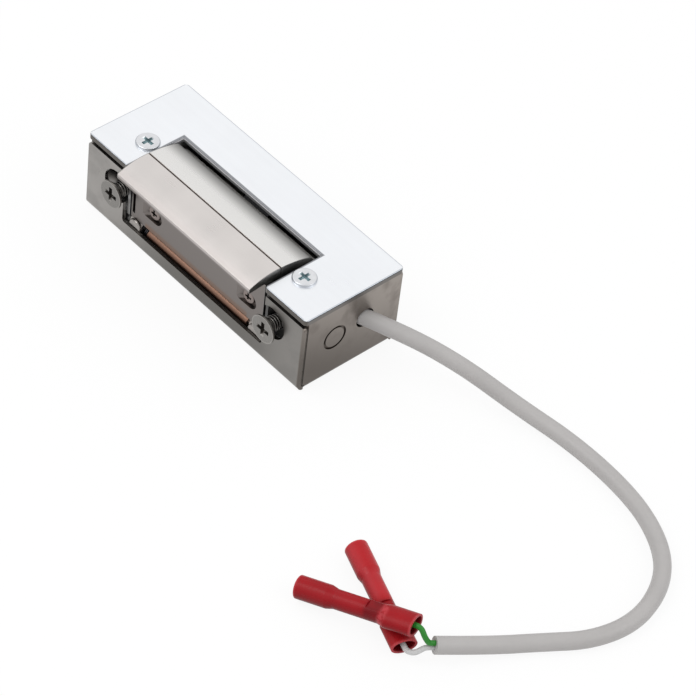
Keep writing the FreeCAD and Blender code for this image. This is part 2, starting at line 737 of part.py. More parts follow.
def locking_lever():
    """The pawl whose nose stands under the keeper's catch, with the arm that carries the armature."""
    tip = catch_outer - lever_engage
    start = catch_angle - math.degrees(lever_start_gap / tip)
    shin = at_depth(armature_front + armature_sheet)
    back = at_depth(armature_front + armature_sheet + lever_sheet)
    spring_face = at_depth(armature_front + 0.4)
    boss_top = lever_z + lever_boss
    pawl = outline(
        polar(tip, start),
        polar(tip + 2.4, start),
        (spring_face, lever_spring_z + 1.8),
        (spring_face, lever_spring_z - 1.6),
        (lever_y + lever_boss * 0.6, boss_top - 0.3),
        (lever_y + lever_boss, lever_z),
        (back, lever_z - lever_boss - 1.0),
        (back, armature_low),
        (shin, armature_low),
        (shin, lever_z - lever_boss * 0.7),
        polar(guard_inner + 0.5, 24),
        polar(guard_inner + 0.1, 31),
        polar(tip + 1.7, 35),
    )
    body = fused([along_x(pawl, -lever_half, lever_half),
                  rod(-lever_half, lever_y, lever_z, lever_boss, 2 * lever_half, (1, 0, 0))])
    return body.cut(rod(-lever_half - 1, lever_y, lever_z, lever_pin_diameter / 2 + pin_clearance,
                        2 * lever_half + 2, (1, 0, 0)))


def armature():
    plate = box(-lever_half, lever_half, at_depth(armature_front), at_depth(armature_front + armature_sheet),
                armature_low, armature_high)
    return rounded(plate, 0.3, lambda e: e.BoundBox.YMax < at_depth(armature_front) + 1e-6
                   and e.BoundBox.XLength > 1)


def lever_pin():
    half = lever_half + lever_gap + ear_width
    return rod(-half, lever_y, lever_z, lever_pin_diameter / 2, 2 * half, (1, 0, 0))


def lever_spring():
    start, end = at_depth(armature_front + 0.4), half_width - sheet
    radius, wire = (lever_spring_diameter - lever_spring_wire) / 2, lever_spring_wire / 2
    length = end - start - 2 * wire
    coil = wound(radius, wire, length / lever_spring_turns, lever_spring_turns)
    coil.rotate(V(0, 0, 0), V(1, 0, 0), -90)
    coil.translate(V(0, start + wire, lever_spring_z))
    return coil


def bent_path(points):
    """A wire of straight runs joined by tangent arcs, and the smallest arc radius in it."""
    corners = [V(*p) for p in points]
    edges, here, radii = [], corners[0], []
    for before, corner, after in zip(corners, corners[1:], corners[2:]):
        back, ahead = (before - corner), (after - corner)
        trim = 0.45 * min(back.Length, ahead.Length)
        enter = corner + back.normalize() * trim
        leave = corner + ahead.normalize() * trim
        half_turn = (math.pi - back.getAngle(ahead)) / 2
        radius = trim / math.tan(half_turn)
        radii.append(radius)
        bisector = (back + ahead).normalize()
        through = corner + bisector * (radius / math.cos(half_turn) - radius)
        edges.append(Part.LineSegment(here, enter).toShape())
        edges.append(Part.Arc(enter, through, leave).toShape())
        here = leave
    edges.append(Part.LineSegment(here, corners[-1]).toShape())
    return Part.Wire(edges), radii


def tube(name, points, diameter):
    path, radii = bent_path(points)
    start = V(*points[0])
    heading = V(*points[1]) - start
    circle = Part.Wire(Part.Circle(start, heading, diameter / 2).toShape())
    solid = path.makePipeShell([circle], True, False)
    expected = path.Length * math.pi * diameter ** 2 / 4
    print("%s: length %.1f, radii %s, smallest %.1f diameters, volume ratio %.4f" % (
        name, path.Length, [round(r, 1) for r in radii], min(radii) / diameter, solid.Volume / expected))
    return solid


def from_end(points):
    """The points of a route given from the end wall."""
    return [(half_length + x, y, z) for x, y, z in points]


def cable_clamp():
    """The collar crimped on the lead inside the wall, which keeps it from being pulled out."""
    start, second = [V(*point) for point in from_end(sheath_route[:2])]
    heading = (second - start).normalize()
    outer = Part.makeCylinder(clamp_diameter / 2, clamp_length, start, heading)
    return outer.cut(Part.makeCylinder(sheath_diameter / 2 + clamp_fit, clamp_length + 2,
                                       start - heading, heading))


def station(x, half_y, half_z):
    """A round or oval section of a sleeve at a place along its length."""
    if abs(half_y - half_z) < 1e-6:
        return Part.Wire(Part.Circle(V(x, 0, 0), V(1, 0, 0), half_y).toShape())
    oval = Part.Ellipse(V(x, half_y, 0), V(x, 0, half_z), V(x, 0, 0))
    return Part.Wire(oval.toShape())


def placed(solid, start, heading, rise):
    turn = FreeCAD.Rotation(V(0, 0, 1), heading).multiply(FreeCAD.Rotation(V(0, 1, 0), -rise))
    solid.Placement = FreeCAD.Placement(V(*from_end([start])[0]), turn)
    return solid


def connector_sleeve(start, heading, rise):
    cuff_y, cuff_z = sleeve_cuff_width / 2, sleeve_cuff_height / 2
    mouth_end, neck_start = sleeve_length * 0.26, sleeve_length * 0.32
    neck_end, cuff_start = sleeve_length * 0.7, sleeve_length * 0.77
    body = fused([
        rod(0, 0, 0, sleeve_mouth, mouth_end, (1, 0, 0)),
        Part.makeCone(sleeve_mouth, sleeve_neck, neck_start - mouth_end, V(mouth_end, 0, 0), V(1, 0, 0)),
        rod(neck_start, 0, 0, sleeve_neck, neck_end - neck_start, (1, 0, 0)),
        Part.makeLoft([station(neck_end, sleeve_neck, sleeve_neck), station(cuff_start, cuff_y, cuff_z)],
                      True, True),
        Part.makeLoft([station(cuff_start, cuff_y, cuff_z), station(sleeve_length, cuff_y, cuff_z)],
                      True, True)])
    bore = rod(-1, 0, 0, sleeve_bore, cuff_start + 1.5, (1, 0, 0))
    mouth = rod(-1, 0, 0, sleeve_mouth - sleeve_wall, mouth_end * 0.8 + 1, (1, 0, 0))
    cuff = Part.makeLoft([station(cuff_start + 0.4, cuff_y - sleeve_wall, cuff_z - sleeve_wall),
                          station(sleeve_length + 1, cuff_y - sleeve_wall, cuff_z - sleeve_wall)], True, True)
    flat = box(sleeve_length * 0.6, sleeve_length * 0.735, -sleeve_mouth, sleeve_mouth,
               sleeve_neck - 0.4, sleeve_neck + 1)
    return placed(without(body, bore, mouth, cuff, flat), start, heading, rise)


def connector_barrel(start, heading, rise):
    outer = sleeve_bore - barrel_fit
    x0, length = sleeve_length * 0.26, sleeve_length * 0.5
    barrel = without(rod(x0, 0, 0, outer, length, (1, 0, 0)),
                     rod(x0 - 1, 0, 0, outer - barrel_wall, length + 2, (1, 0, 0)))
    return placed(barrel, start, heading, rise)


def coil_leads():
    """The two cores inside the box, from the lead's inner end to the coil."""
    offset = core_diameter * 0.55
    inner_route = from_end(inner_tail) + [(half_length * share, y, z) for share, y, z in inner_shares]
    wires = []
    for side in (-offset, offset):
        points = [(x, y, z + side) for x, y, z in inner_route]
        points.append((inner_end[0] + side * 2, inner_end[1], inner_end[2]))
        wires.append(tube("coil lead", points, core_diameter - 0.1))
    return Part.makeCompound(wires)


save("housing", housing())
save("cover_plate", cover_plate())
save("cover_screws", pair(cover_screw()))
save("base_screws", pair(base_screw()))
save("faceplate_screws", pair(face_screw()))
save("strike_frame", strike_frame())
save("keeper", keeper())
save("keeper_lip", keeper_lip())
save("lip_screws", Part.makeCompound(at_lip_screws(lip_screw())))
save("keeper_pin", keeper_pin())
save("pin_sleeve", pin_sleeve())
save("keeper_spring", keeper_spring())
save("thrust_washers", pair(thrust_washer()))
save("coil_bobbin", coil_bobbin())
save("coil_winding", coil_winding())
save("coil_core", coil_core())
save("yoke", yoke())
save("locking_lever", locking_lever())
save("armature", armature())
save("lever_pin", lever_pin())
save("lever_spring", lever_spring())
save("coil_leads", coil_leads())
save("cable_clamp", cable_clamp())
save("cable_sheath", tube("sheath", from_end(sheath_route), sheath_diameter))
save("green_core", tube("green core", from_end(green_route), core_diameter))
save("white_core", tube("white core", from_end(white_route), core_diameter))
save("upper_connector_sleeve", connector_sleeve(upper_start, upper_heading, upper_rise))
save("lower_connector_sleeve", connector_sleeve(lower_start, lower_heading, 0))
save("upper_connector_barrel", connector_barrel(upper_start, upper_heading, upper_rise))
save("lower_connector_barrel", connector_barrel(lower_start, lower_heading, 0))
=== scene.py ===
import bpy
import bmesh
import math
from mathutils import Matrix, Vector


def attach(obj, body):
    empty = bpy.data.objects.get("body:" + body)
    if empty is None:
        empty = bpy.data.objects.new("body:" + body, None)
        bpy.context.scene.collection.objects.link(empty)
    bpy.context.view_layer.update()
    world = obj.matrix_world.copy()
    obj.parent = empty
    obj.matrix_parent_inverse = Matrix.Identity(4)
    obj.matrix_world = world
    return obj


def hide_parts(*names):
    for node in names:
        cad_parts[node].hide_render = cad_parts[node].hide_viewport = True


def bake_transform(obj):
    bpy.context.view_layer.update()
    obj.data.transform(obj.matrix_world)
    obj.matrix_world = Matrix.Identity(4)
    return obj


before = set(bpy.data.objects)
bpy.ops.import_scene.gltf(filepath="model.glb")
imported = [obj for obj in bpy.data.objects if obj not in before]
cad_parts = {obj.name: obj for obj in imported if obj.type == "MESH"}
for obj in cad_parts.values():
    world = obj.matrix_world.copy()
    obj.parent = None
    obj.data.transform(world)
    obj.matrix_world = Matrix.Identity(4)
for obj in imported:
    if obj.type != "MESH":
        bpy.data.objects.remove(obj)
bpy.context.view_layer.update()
mm = 0.001


class Num:
    # a number that varies over a surface: a socket that takes part in Python expressions
    def __init__(self, recipe, socket):
        self.recipe, self.socket = recipe, socket

    def __add__(self, other):
        return self.recipe.maths("ADD", self, other)

    def __radd__(self, other):
        return self.recipe.maths("ADD", other, self)

    def __sub__(self, other):
        return self.recipe.maths("SUBTRACT", self, other)

    def __rsub__(self, other):
        return self.recipe.maths("SUBTRACT", other, self)

    def __mul__(self, other):
        return self.recipe.maths("MULTIPLY", self, other)

    def __rmul__(self, other):
        return self.recipe.maths("MULTIPLY", other, self)

    def __pow__(self, other):
        return self.recipe.maths("POWER", self, other)

    def __abs__(self):
        return self.recipe.maths("ABSOLUTE", self, 0.0)


class Recipe:
    # one material's node tree
    def __init__(self, name):
        self.material = bpy.data.materials.new(name)
        self.material.use_nodes = True
        self.tree = self.material.node_tree
        self.tree.nodes.clear()
        self.place = self.node("ShaderNodeTexCoord").outputs["Object"]

    def node(self, kind, settings=None, sockets=None):
        made = self.tree.nodes.new(kind)
        for key, value in (settings or {}).items():
            setattr(made, key, value)
        for key, value in (sockets or {}).items():
            value = value.socket if isinstance(value, Num) else value
            if isinstance(value, bpy.types.NodeSocket):
                self.tree.links.new(value, made.inputs[key])
            else:
                made.inputs[key].default_value = value
        return made

    def maths(self, operation, first, second):
        made = self.node("ShaderNodeMath", {"operation": operation}, {0: first, 1: second})
        return Num(self, made.outputs[0])

    def axes(self):
        parts = self.node("ShaderNodeSeparateXYZ", None, {0: self.place})
        return [Num(self, parts.outputs[n]) for n in range(3)]

    def noise(self, scale, detail=2.0, roughness=0.5, seedAt=(0, 0, 0)):
        moved = self.node("ShaderNodeMapping", None,
                          {"Vector": self.place, "Location": seedAt, "Scale": scale})
        made = self.node("ShaderNodeTexNoise", {"noise_dimensions": "3D"},
                         {"Vector": moved.outputs[0], "Scale": 1.0, "Detail": detail, "Roughness": roughness})
        return Num(self, made.outputs[0])

    def step(self, value, low, high):
        made = self.node("ShaderNodeMapRange", {"interpolation_type": "SMOOTHSTEP"},
                         {"Value": value, "From Min": low, "From Max": high})
        return Num(self, made.outputs[0])

    def within(self, value, low, high, soft):
        return self.step(value, low - soft, low + soft) * (1 - self.step(value, high - soft, high + soft))

    def scaled(self, colour, amount):
        made = self.node("ShaderNodeVectorMath", {"operation": "SCALE"}, {0: colour, "Scale": amount})
        return made.outputs[0]

    def mixed(self, factor, first, second):
        made = self.node("ShaderNodeMix", {"data_type": "RGBA"}, {"Factor": factor, 6: first, 7: second})
        return made.outputs[2]

    def bump(self, height, distance):
        return self.node("ShaderNodeBump", None, {"Height": height, "Distance": distance}).outputs[0]

    def surface(self, sockets):
        shader = self.node("ShaderNodeBsdfPrincipled", None, sockets)
        self.node("ShaderNodeOutputMaterial", None, {"Surface": shader.outputs[0]})
        return self.material


def rgba(colour):
    return (*colour, 1.0)


def shown(name, data):
    made = bpy.data.objects.new(name, data)
    bpy.context.scene.collection.objects.link(made)
    return made


def metalFinish(name, look, marks=None):
    # plated or bare metal: drawn grain, slow mottling, and marks laid over it where they belong
    recipe = Recipe(name)
    grain = recipe.noise(look["grain"], 3.0, 0.6)
    mottle = recipe.noise(look["mottle"], 2.0, 0.5, (3.1, 1.7, 5.3))
    shade = 1 + (grain - 0.5) * look["grainShade"] + (mottle - 0.5) * look["mottleShade"]
    colour = recipe.scaled(look["colour"], shade)
    spread = look["roughSpread"]
    rough = look["roughness"] + (mottle - 0.5) * spread + (grain - 0.5) * spread * 0.6
    metallic = 1.0
    for mask, markColour, markRough, *markMetallic in (marks(recipe) if marks else ()):
        colour = recipe.mixed(mask, colour, rgba(markColour))
        rough = rough * (1 - mask) + mask * markRough
        if markMetallic:
            metallic = metallic * (1 - mask) + mask * markMetallic[0]
    return recipe.surface({
        "Base Color": colour, "Metallic": metallic, "Roughness": rough,
        "Normal": recipe.bump(grain, look["grainDepth"])})


# a pair is where a mark begins and ends, with how softly where there is a third value; a tint is a colour, a
# roughness and, where given, a lowered metallic value, so that a painted band of light or shade shows grey
# rather than going black
# most of the cover's edge bands below are painted light and shade
cover = {"top": 23.3 * mm, "rimX": 39.75 * mm, "rimY": 15.05 * mm, "notchX": 25.6 * mm, "notchY": 2.6 * mm,
         "frontY": (-14.9 * mm, -14.5 * mm), "outlineAt": (-0.12 * mm, 0.08 * mm),
         "notchShadowAt": (0.0, 0.36 * mm), "notchAt": (0.3 * mm, 0.6 * mm), "edgeDepth": (0.06 * mm, 0.17 * mm),
         "lineDepth": (0.05 * mm, 0.4 * mm, 0.05 * mm), "notchHighlightDepth": (0.42 * mm, 0.68 * mm, 0.06 * mm),
         "lowDepth": (0.72 * mm, 0.86 * mm),
         "outline": ((0.42, 0.45, 0.5), 0.3), "notchShadow": ((0.14, 0.145, 0.16), 0.3),
         "edge": ((0.17, 0.158, 0.148), 0.34), "line": ((0.09, 0.1, 0.112), 0.36),
         "inNotch": ((0.5, 0.5, 0.53), 0.4, 0.1), "notchHighlight": ((0.95, 0.95, 0.97), 0.3, 0.1),
         "low": ((0.17, 0.17, 0.175), 0.5, 0.1), "front": ((0.12, 0.11, 0.1), 0.4)}


def sheetEdges(recipe):
    # the cover's edges are painted with light and shade: a grey-blue line along the outer rim and a dark line
    # near the top of each cut face (painted shade); the cut faces dull and dark, partly the sheared steel's
    # own dullness and partly painted shade, the front edges darker still (painted shade); a painted shadow
    # along the notch on the top; and in the notch a matt grey edge as a painted lit band, with a painted
    # highlight line and a painted dark band below it
    x, y, z = recipe.axes()
    depth = cover["top"] - z
    rim = recipe.maths("MAXIMUM", abs(x) - cover["rimX"], abs(y) - cover["rimY"])
    notch = recipe.maths("MAXIMUM", abs(x) - cover["notchX"], y - cover["notchY"])
    outline = recipe.step(rim, *cover["outlineAt"])
    notchShadow = 1 - recipe.step(notch, *cover["notchShadowAt"])
    edge = recipe.step(depth, *cover["edgeDepth"])
    inNotch = edge * (1 - recipe.step(notch, *cover["notchAt"]))
    line = recipe.within(depth, *cover["lineDepth"])
    notchHighlight = recipe.within(depth, *cover["notchHighlightDepth"])
    low = recipe.step(depth, *cover["lowDepth"])
    front = 1 - recipe.step(y, *cover["frontY"])
    return [(outline * 0.8, *cover["outline"]), (notchShadow * 0.85, *cover["notchShadow"]), (edge, *cover["edge"]),
            (edge * line, *cover["line"]), (inNotch, *cover["inNotch"]), (inNotch * notchHighlight, *cover["notchHighlight"]),
            (inNotch * low, *cover["low"]), (edge * front * 0.85, *cover["front"])]


# where the housing's painted shade, its painted warm reflection and its blotches lie, and their tints
boxPaintedLightAndBlotches = {"frontY": (-15.1 * mm, -14.9 * mm), "endX": (38.8 * mm, 39.4 * mm),
           "leftX": (-42 * mm, -8 * mm), "rightX": (18 * mm, 36 * mm), "footZ": (-2 * mm, 27 * mm),
           "shadeZ": (11 * mm, 19 * mm), "blotchAt": (0.46, 0.68),
           "ringY": -5.3 * mm, "ringZ": 12.5 * mm, "groove": (2.78 * mm, 3.46 * mm, 0.1 * mm),
           "front": ((0.1, 0.095, 0.085), 0.34), "end": ((0.3, 0.256, 0.222), 0.3),
           "foot": ((0.08, 0.068, 0.058), 0.34), "endBlotch": ((0.1, 0.082, 0.07), 0.36),
           "blotch": ((0.14, 0.135, 0.13), 0.34), "grooveShade": ((0.05, 0.036, 0.028), 0.5)}


def boxMarks(recipe):
    # the front wall is painted darker towards its lower right as shade, the end wall warmer as a painted
    # reflection and darker at its foot as shade, both walls carry soft blotches, and the knock-out's groove
    # is painted dark as shade, less so on its upper side
    x, y, z = recipe.axes()
    blotch = recipe.noise((130, 130, 130), 3.0, 0.55, (0.3, 8.1, 2.2))
    blotch = recipe.step(blotch, *boxPaintedLightAndBlotches["blotchAt"])
    front = 1 - recipe.step(y, *boxPaintedLightAndBlotches["frontY"])
    along = recipe.step(x - z * 1.2, *boxPaintedLightAndBlotches["leftX"]) * (1 - recipe.step(x, *boxPaintedLightAndBlotches["rightX"]) * 0.45)
    end = recipe.step(x, *boxPaintedLightAndBlotches["endX"])
    foot = 1 - recipe.step(z + y * 0.5, *boxPaintedLightAndBlotches["footZ"])
    reach = ((y - boxPaintedLightAndBlotches["ringY"]) ** 2 + (z - boxPaintedLightAndBlotches["ringZ"]) ** 2) ** 0.5
    groove = recipe.within(reach, *boxPaintedLightAndBlotches["groove"])
    shaded = recipe.step(z - y * 0.6, *boxPaintedLightAndBlotches["shadeZ"])
    return [(front * along * 0.78, *boxPaintedLightAndBlotches["front"]), (end * 0.6, *boxPaintedLightAndBlotches["end"]),
            (end * foot * 0.86, *boxPaintedLightAndBlotches["foot"]), (end * blotch * 0.45, *boxPaintedLightAndBlotches["endBlotch"]),
            ((1 - end) * blotch * 0.26, *boxPaintedLightAndBlotches["blotch"]),
            (end * groove * (1 - shaded * 0.6), *boxPaintedLightAndBlotches["grooveShade"])]


# the places between which each band of the keeper turns into the next, and the bands' tints, all painted
# shade and light but for the dark seam at the split
keeperPaintedLightAndSeam = {
    "wallY": (-14.25 * mm, -14.1 * mm), "lipZ": (21.8 * mm, 22.7 * mm), "splitY": (-9.6 * mm, -9.5 * mm),
    "crownZ": (17.2 * mm, 18.4 * mm), "lowZ": (7.9 * mm, 9.4 * mm), "lowX": (18.6 * mm, 19.2 * mm),
    "knuckleZ": (6.2 * mm, 7.4 * mm), "knuckleX": (19.2 * mm, 19.8 * mm), "backY": (-5.6 * mm, 0.0),
    "heelY": (0.7 * mm, 1.8 * mm), "browY": (-19.0 * mm, -16.0 * mm), "tipY": (-18.8 * mm, -18.4 * mm),
    "tipZ": (22.5 * mm, 23.2 * mm), "seamY": (-9.9 * mm, -9.3 * mm, 0.06 * mm),
    "seamZ": (22.6 * mm, 23.0 * mm), "endX": (24.12 * mm, 24.28 * mm), "endZ": (7.4 * mm, 7.6 * mm),
    "wall": ((0.2, 0.18, 0.17), 0.36), "low": ((0.2, 0.125, 0.09), 0.3),
    "knuckle": ((0.5, 0.47, 0.44), 0.24), "rear": ((0.78, 0.775, 0.76), 0.26),
    "back": ((0.13, 0.127, 0.12), 0.34, 0.6), "heel": ((0.42, 0.41, 0.39), 0.5, 0.1),
    "brow": ((0.42, 0.385, 0.37), 0.42), "tip": ((0.14, 0.122, 0.115), 0.42),
    "seam": ((0.16, 0.12, 0.1), 0.4), "ends": ((0.19, 0.19, 0.183), 0.36)}


def keeperMarks(recipe):
    # the wall under the lip is painted dark as shade, with a painted copper reflection low down beside the
    # copper sleeve and a painted highlight by the knuckles; the rear half is painted paler at the split,
    # darker towards its back edge as painted shade, and matt grey at its rearmost strip as a painted lit band
    # in the gap; the lip's front edge, its front face and its end faces are painted darker as shade, and the
    # split between the halves has a dark seam
    x, y, z = recipe.axes()
    paintedLightAndSeam = keeperPaintedLightAndSeam
    wall = recipe.step(y, *paintedLightAndSeam["wallY"]) * (1 - recipe.step(z, *paintedLightAndSeam["lipZ"]))
    rear = recipe.step(y, *paintedLightAndSeam["splitY"]) * recipe.step(z, *paintedLightAndSeam["crownZ"])
    low = (1 - recipe.step(z, *paintedLightAndSeam["lowZ"])) * (1 - recipe.step(abs(x), *paintedLightAndSeam["lowX"]))
    knuckle = (1 - recipe.step(z, *paintedLightAndSeam["knuckleZ"])) * recipe.step(abs(x), *paintedLightAndSeam["knuckleX"])
    back = recipe.step(y, *paintedLightAndSeam["backY"])
    heel = recipe.step(y, *paintedLightAndSeam["heelY"])
    brow = 1 - recipe.step(y, *paintedLightAndSeam["browY"])
    tip = (1 - recipe.step(y, *paintedLightAndSeam["tipY"])) * (1 - recipe.step(z, *paintedLightAndSeam["tipZ"]))
    seam = recipe.within(y, *paintedLightAndSeam["seamY"]) * recipe.step(z, *paintedLightAndSeam["seamZ"])
    ends = recipe.step(abs(x), *paintedLightAndSeam["endX"]) * recipe.step(z, *paintedLightAndSeam["endZ"])
    return [(wall * (1 - rear), *paintedLightAndSeam["wall"]), (wall * low * 0.8, *paintedLightAndSeam["low"]),
            (wall * knuckle * 0.8, *paintedLightAndSeam["knuckle"]), (rear * 0.85, *paintedLightAndSeam["rear"]),
            (rear * back * 0.85, *paintedLightAndSeam["back"]), (rear * heel, *paintedLightAndSeam["heel"]), (brow * 0.6, *paintedLightAndSeam["brow"]),
            (tip * 0.8, *paintedLightAndSeam["tip"]), (seam * 0.75, *paintedLightAndSeam["seam"]), (ends * 0.9, *paintedLightAndSeam["ends"])]


lug = {"startX": (24.9 * mm, 25.1 * mm), "faceY": (-13.9 * mm, -13.6 * mm),
       "shade": ((0.07, 0.068, 0.065), 0.5)}


def frameMarks(recipe):
    # the casting's right lug stands in the clearance hole's shade
    x, y = recipe.axes()[:2]
    shade = recipe.step(x, *lug["startX"]) * (1 - recipe.step(y, *lug["faceY"]))
    return [(shade * 0.85, *lug["shade"])]


def screwRecess(spacing, across, axis, faceAt, headRadius, inward, recessShade, rim, middle=0.0):
    # the cross recesses of a pair of screws, painted darker as shade, and a line painted round the rims of
    # their heads in the given rim colour
    def marks(recipe):
        x, y, z = recipe.axes()
        side = abs(x - middle) - spacing / 2
        other = (z if axis == "y" else y) - across
        along = ((y if axis == "y" else z) - faceAt) * inward
        radius = (side * side + other * other) ** 0.5
        near = 1 - recipe.step(radius, headRadius * 0.6, headRadius * 0.68)
        deep = recipe.within(along, headRadius * 0.06, headRadius * 0.38, headRadius * 0.03)
        brim = 1 - recipe.step(along, 1.0 * mm, 1.2 * mm)
        edge = recipe.step(radius, headRadius * 0.9, headRadius * 0.96) * brim
        return [(near * deep, recessShade, 0.38), (edge * 0.5, rim, 0.36)]
    return marks


# the housing's zinc has a far darker base than the cover's, though both are the same plated sheet: painted
# shade for its upright walls
shadedBoxSteelLook = {"colour": (0.33, 0.315, 0.3), "roughness": 0.3, "roughSpread": 0.12, "grain": (60, 900, 900),
                "mottle": (70, 70, 70), "grainShade": 0.1, "mottleShade": 0.22, "grainDepth": 0.000004}
coverSteelLook = {"colour": (0.89, 0.907, 0.935), "roughness": 0.3, "roughSpread": 0.1,
                  "grain": (40, 700, 700), "mottle": (60, 60, 60), "grainShade": 0.05, "mottleShade": 0.08,
                  "grainDepth": 0.000003}
nickelLook = {"colour": (0.68, 0.645, 0.625), "roughness": 0.29, "roughSpread": 0.1, "grain": (30, 480, 480),
              "mottle": (110, 60, 110), "grainShade": 0.05, "mottleShade": 0.16, "grainDepth": 0.000001}
castLook = {"colour": (0.42, 0.42, 0.42), "roughness": 0.36, "roughSpread": 0.2, "grain": (900, 900, 900),
            "mottle": (160, 160, 160), "grainShade": 0.25, "mottleShade": 0.3, "grainDepth": 0.00002}
screwLook = {"colour": (0.74, 0.75, 0.77), "roughness": 0.36, "roughSpread": 0.15,
             "grain": (1500, 1500, 1500), "mottle": (400, 400, 400), "grainShade": 0.12,
             "mottleShade": 0.25, "grainDepth": 0.000006}
faceScrewLook = {"colour": (0.225, 0.215, 0.203), "roughness": 0.27, "roughSpread": 0.15,
                 "grain": (1500, 1500, 1500), "mottle": (400, 400, 400), "grainShade": 0.15,
                 "mottleShade": 0.3, "grainDepth": 0.000006}
lipScrewLook = {"colour": (0.24, 0.2, 0.185), "roughness": 0.32, "roughSpread": 0.15,
                "grain": (1500, 1500, 1500), "mottle": (500, 500, 500), "grainShade": 0.15,
                "mottleShade": 0.3, "grainDepth": 0.000006}
pinLook = {"colour": (0.5, 0.49, 0.48), "roughness": 0.28, "roughSpread": 0.1, "grain": (80, 1400, 1400),
           "mottle": (200, 200, 200), "grainShade": 0.1, "mottleShade": 0.15, "grainDepth": 0.000004}
copperLook = {"colour": (0.25, 0.145, 0.105), "roughness": 0.36, "roughSpread": 0.14,
              "grain": (60, 1500, 1500), "mottle": (120, 300, 300), "grainShade": 0.4,
              "mottleShade": 0.35, "grainDepth": 0.000008}
springLook = {"colour": (0.05, 0.05, 0.055), "roughness": 0.35, "roughSpread": 0.1, "grain": (900, 900, 900),
              "mottle": (300, 300, 300), "grainShade": 0.2, "mottleShade": 0.2, "grainDepth": 0.000006}
ironLook = {"colour": (0.3, 0.3, 0.3), "roughness": 0.4, "roughSpread": 0.15, "grain": (600, 600, 600),
            "mottle": (150, 150, 150), "grainShade": 0.15, "mottleShade": 0.25, "grainDepth": 0.00001}
leverLook = {"colour": (0.03, 0.03, 0.032), "roughness": 0.45, "roughSpread": 0.2, "grain": (700, 700, 700),
             "mottle": (200, 200, 200), "grainShade": 0.3, "mottleShade": 0.4, "grainDepth": 0.00001}
windingLook = {"colour": (0.42, 0.13, 0.05), "roughness": 0.3, "roughSpread": 0.1, "grain": (300, 5200, 300),
               "mottle": (200, 200, 200), "grainShade": 0.7, "mottleShade": 0.2, "grainDepth": 0.00006}
tinnedLook = {"colour": (0.7, 0.69, 0.67), "roughness": 0.3, "roughSpread": 0.1, "grain": (800, 800, 800),
              "mottle": (300, 300, 300), "grainShade": 0.15, "mottleShade": 0.2, "grainDepth": 0.00001}


def plasticFinish(name, look, marks=None):
    # moulded or extruded plastic: fine skin, slow shade changes and a little bloom
    recipe = Recipe(name)
    skin = recipe.noise((look["skin"],) * 3, 3.0, 0.6)
    cloud = recipe.noise((look["cloud"],) * 3, 2.0, 0.5, (7.7, 2.2, 4.1))
    shade = 1 + (cloud - 0.5) * look["shade"] + (skin - 0.5) * look["shade"] * 0.4
    colour = recipe.scaled(look["colour"], shade)
    rough = look["roughness"] + (cloud - 0.5) * 0.12 + (skin - 0.5) * 0.1
    for mask, markColour in (marks(recipe) if marks else ()):
        colour = recipe.mixed(mask, colour, rgba(markColour))
    return recipe.surface({
        "Base Color": colour, "Roughness": rough, "Specular IOR Level": look["gloss"],
        "Normal": recipe.bump(skin, look["depth"])})


# where the marks lie along a sleeve, as shares of its length from the end away from the lead
sleeve = {"deep": (0.085, 0.002, 0.005), "pale": (0.55, 0.075, 0.09), "crimp": (0.59, 0.72, 0.022),
          "stretched": (0.715, 0.775, 0.02), "farRim": (0.004, 0.02), "mouthRim": (0.98, 0.996),
          "depth": (-2.6 * mm, 2.4 * mm), "crest": (1.15 * mm, 2.35 * mm, 0.7 * mm), "crestEnd": (0.5, 0.6)}


def sleeveMarks(farEnd, mouth, sheen):
    # the vinyl is painted darker along its lower side as shade and paler along its top over the half towards
    # the far end as a highlight, as strong as the sheen; it is darker in blotches in the crimp, pale in
    # streaks where the crimp stretched it, and pale at both rims
    start, run = Vector(farEnd) * mm, (Vector(mouth) - Vector(farEnd)) * mm

    def marks(recipe):
        x, y, z = recipe.axes()
        part = run / run.length_squared
        share = (x - start.x) * part.x + (y - start.y) * part.y + (z - start.z) * part.z
        height = z - share * run.z - start.z
        lowerShade = 1 - recipe.step(height, *sleeve["depth"])
        streaks = recipe.step(recipe.noise((420, 420, 900), 3.0, 0.6, (4.4, 0.7, 1.9)), 0.42, 0.6)
        blotches = recipe.step(recipe.noise((260, 260, 260), 2.0, 0.55, (0.4, 2.7, 3.9)), 0.35, 0.62)
        crimp = recipe.within(share, *sleeve["crimp"]) * (0.55 + blotches * 0.45)
        stretched = recipe.within(share, *sleeve["stretched"]) * streaks
        crest = recipe.within(height, *sleeve["crest"]) * (1 - recipe.step(share, *sleeve["crestEnd"]))
        rim = recipe.maths("MAXIMUM", 1 - recipe.step(share, *sleeve["farRim"]),
                           recipe.step(share, *sleeve["mouthRim"]))
        deep, pale = sleeve["deep"], sleeve["pale"]
        return [(lowerShade * 0.85, deep), (crest * sheen, pale), (crimp * 0.62, deep),
                (stretched * 0.5, pale), (rim * 0.4, pale)]
    return marks


sheathLook = {"colour": (0.385, 0.372, 0.366), "roughness": 0.42, "skin": 900, "cloud": 90, "shade": 0.14,
              "gloss": 0.4, "depth": 0.00001}
greenLook = {"colour": (0.025, 0.2, 0.025), "roughness": 0.34, "skin": 1200, "cloud": 200, "shade": 0.2,
             "gloss": 0.25, "depth": 0.000008}
whiteLook = {"colour": (0.5, 0.5, 0.5), "roughness": 0.34, "skin": 1200, "cloud": 200, "shade": 0.12,
             "gloss": 0.35, "depth": 0.000008}
redLook = {"colour": (0.36, 0.009, 0.013), "roughness": 0.34, "skin": 700, "cloud": 120, "shade": 0.35,
           "gloss": 0.16, "depth": 0.00001}
# the upper connector's red is a darker copy of the same vinyl, as painted shade
shadedRedLook = dict(redLook, colour=(0.285, 0.005, 0.009))
blackLook = {"colour": (0.02, 0.02, 0.021), "roughness": 0.45, "skin": 800, "cloud": 150, "shade": 0.3,
             "gloss": 0.4, "depth": 0.00001}

